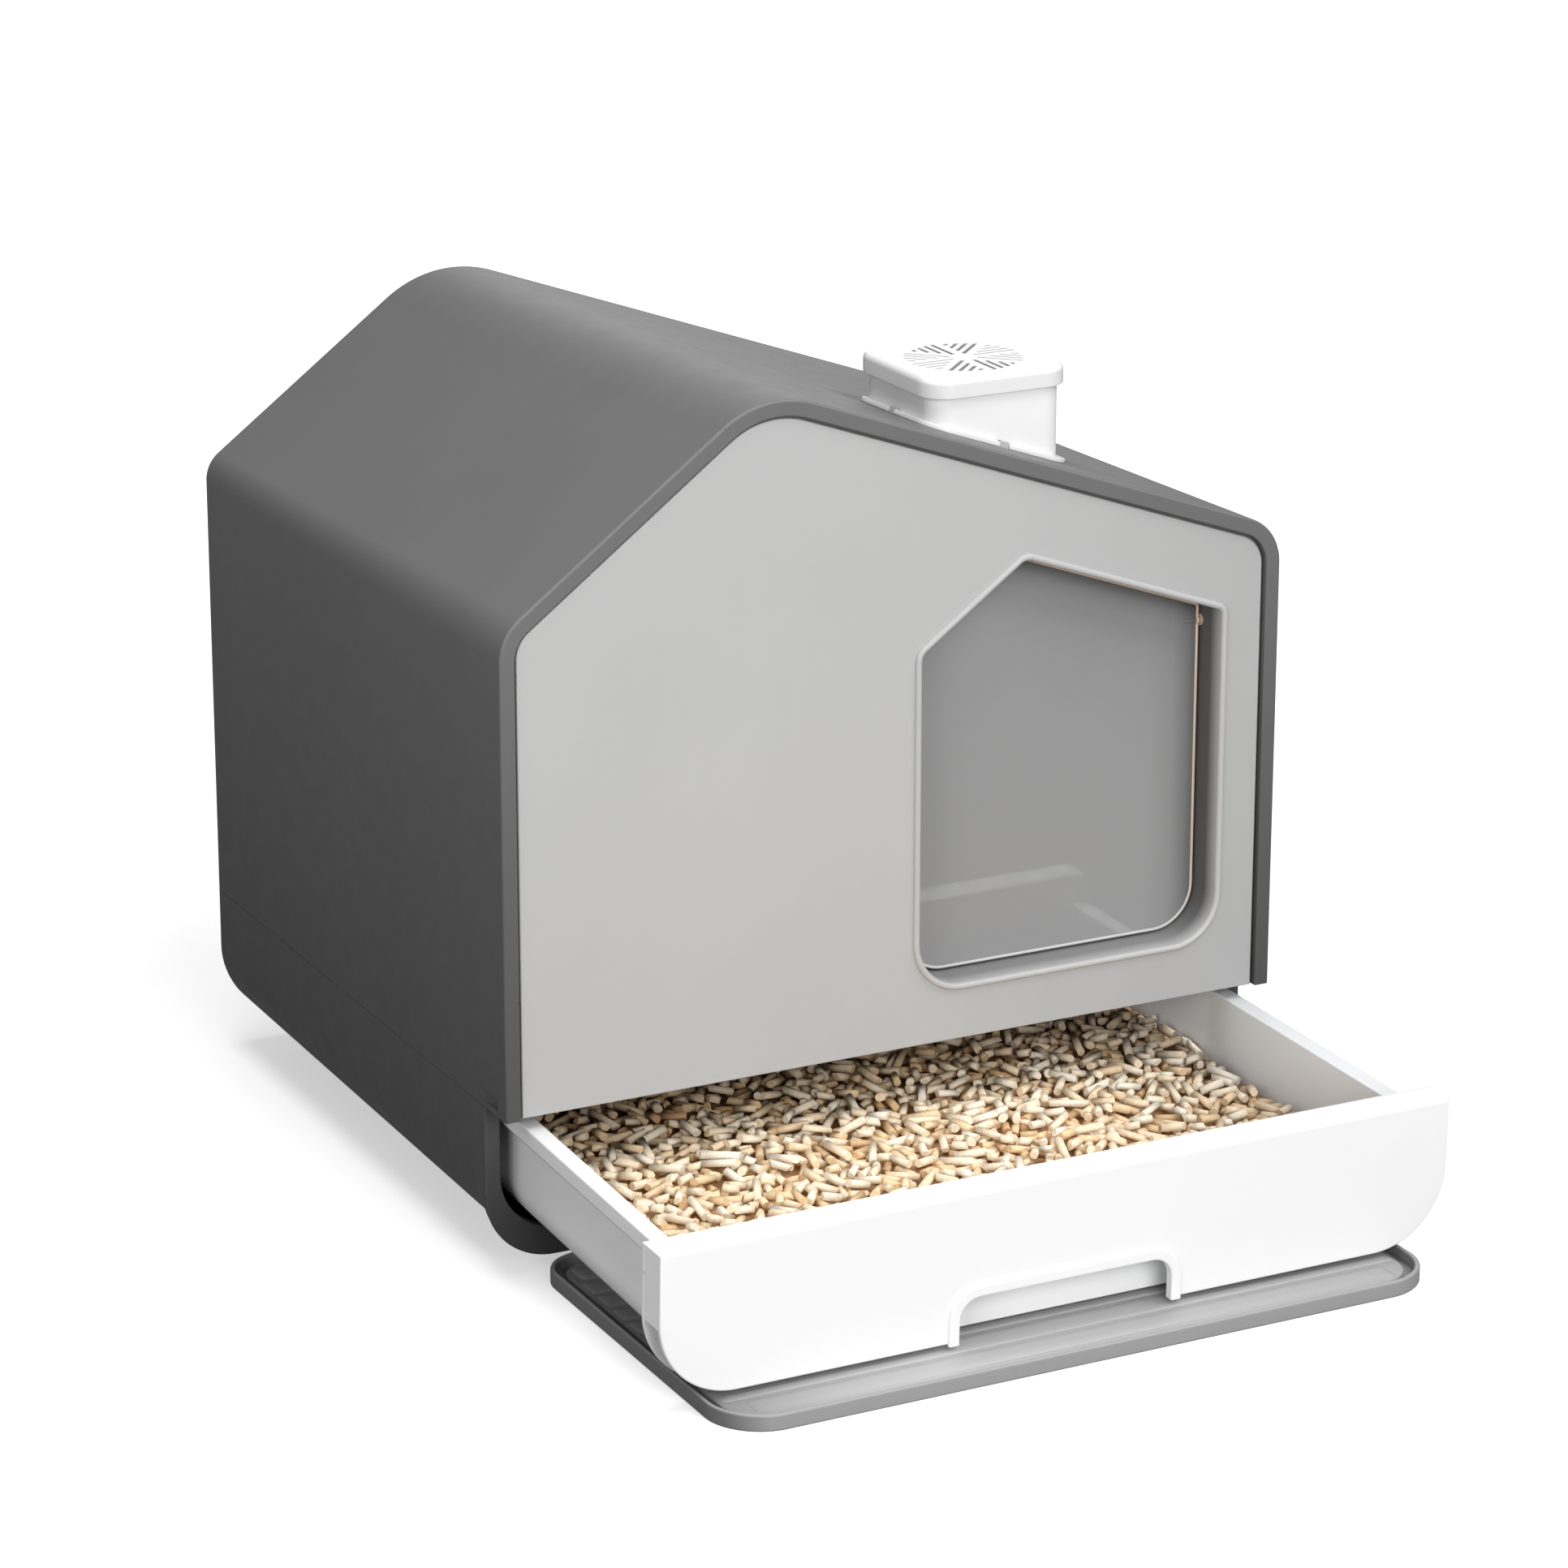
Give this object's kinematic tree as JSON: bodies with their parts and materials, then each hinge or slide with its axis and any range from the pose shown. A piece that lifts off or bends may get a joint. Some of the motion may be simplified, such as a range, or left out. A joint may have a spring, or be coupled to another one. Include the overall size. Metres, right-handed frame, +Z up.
{
  "type": "drawer litter box",
  "caption": "Hooded house-shaped litter box with a smoked swing flap, a roof filter box, a pull-out litter drawer and a catch tray on the floor.",
  "frame": {"origin": "on the floor under the middle of the bounding box, with the drawer and the tray out as shown", "axes": "+X to the right seen from the front, +Y to the back, +Z up; the drawer comes out towards -Y"},
  "size_m": [0.47, 0.639, 0.4698],
  "materials": {
    "dark_grey_plastic": "fine satin",
    "pale_grey_plastic": "fine satin",
    "white_plastic": "satin",
    "smoke_clear": "clear smoked plastic sheet",
    "tan_plastic": "satin",
    "foot_rubber": "matt",
    "wood_pellets": "pressed wood pellets",
    "carbon_felt": "felt",
    "tray_grey_plastic": "fine satin",
    "inlay_plastic": "satin"
  },
  "bodies": {
    "base": {"base_shell": "dark_grey_plastic", "feet": "foot_rubber", "left_runner": "dark_grey_plastic", "right_runner": "dark_grey_plastic"},
    "hood": {"hood_shell": "dark_grey_plastic", "front_panel": "pale_grey_plastic", "panel_rivets": "dark_grey_plastic", "entrance_frame": "pale_grey_plastic", "filter_box": "white_plastic", "box_clips": "white_plastic", "filter_grate": "white_plastic", "carbon_pad": "carbon_felt"},
    "filter_cover": {"filter_lid": "white_plastic"},
    "flap": {"flap_sheet": "smoke_clear", "flap_trim": "pale_grey_plastic", "flap_pins": "tan_plastic"},
    "drawer": {"drawer_tub": "white_plastic", "drawer_front": "white_plastic", "drawer_rivets": "white_plastic", "handle_trim": "white_plastic", "litter_bed": "wood_pellets"},
    "tray": {"catch_tray": "tray_grey_plastic", "tray_inlay": "inlay_plastic"}
  },
  "joints": [
    {"name": "drawer_slide", "type": "slide", "parent": "base", "child": "drawer", "axis": [0, 0.9994, 0.0349], "range_m": [0, 0.182]},
    {"name": "flap_swing", "type": "hinge", "parent": "hood", "child": "flap", "pos_m": [0.1056, -0.0805, 0.30978], "axis": [1, 0, 0], "range_deg": [-75, 75]},
    {"name": "hood_lift", "type": "slide", "parent": "base", "child": "hood", "axis": [0, 0, 1], "range_m": [0, 0.2]},
    {"name": "filter_lid_lift", "type": "slide", "parent": "hood", "child": "filter_cover", "axis": [0, 0, 1], "range_m": [0, 0.035]},
    {"name": "tray_slide", "type": "slide", "parent": "base", "child": "tray", "axis": [0, -1, 0], "range_m": [0, 0.13]}
  ]
}
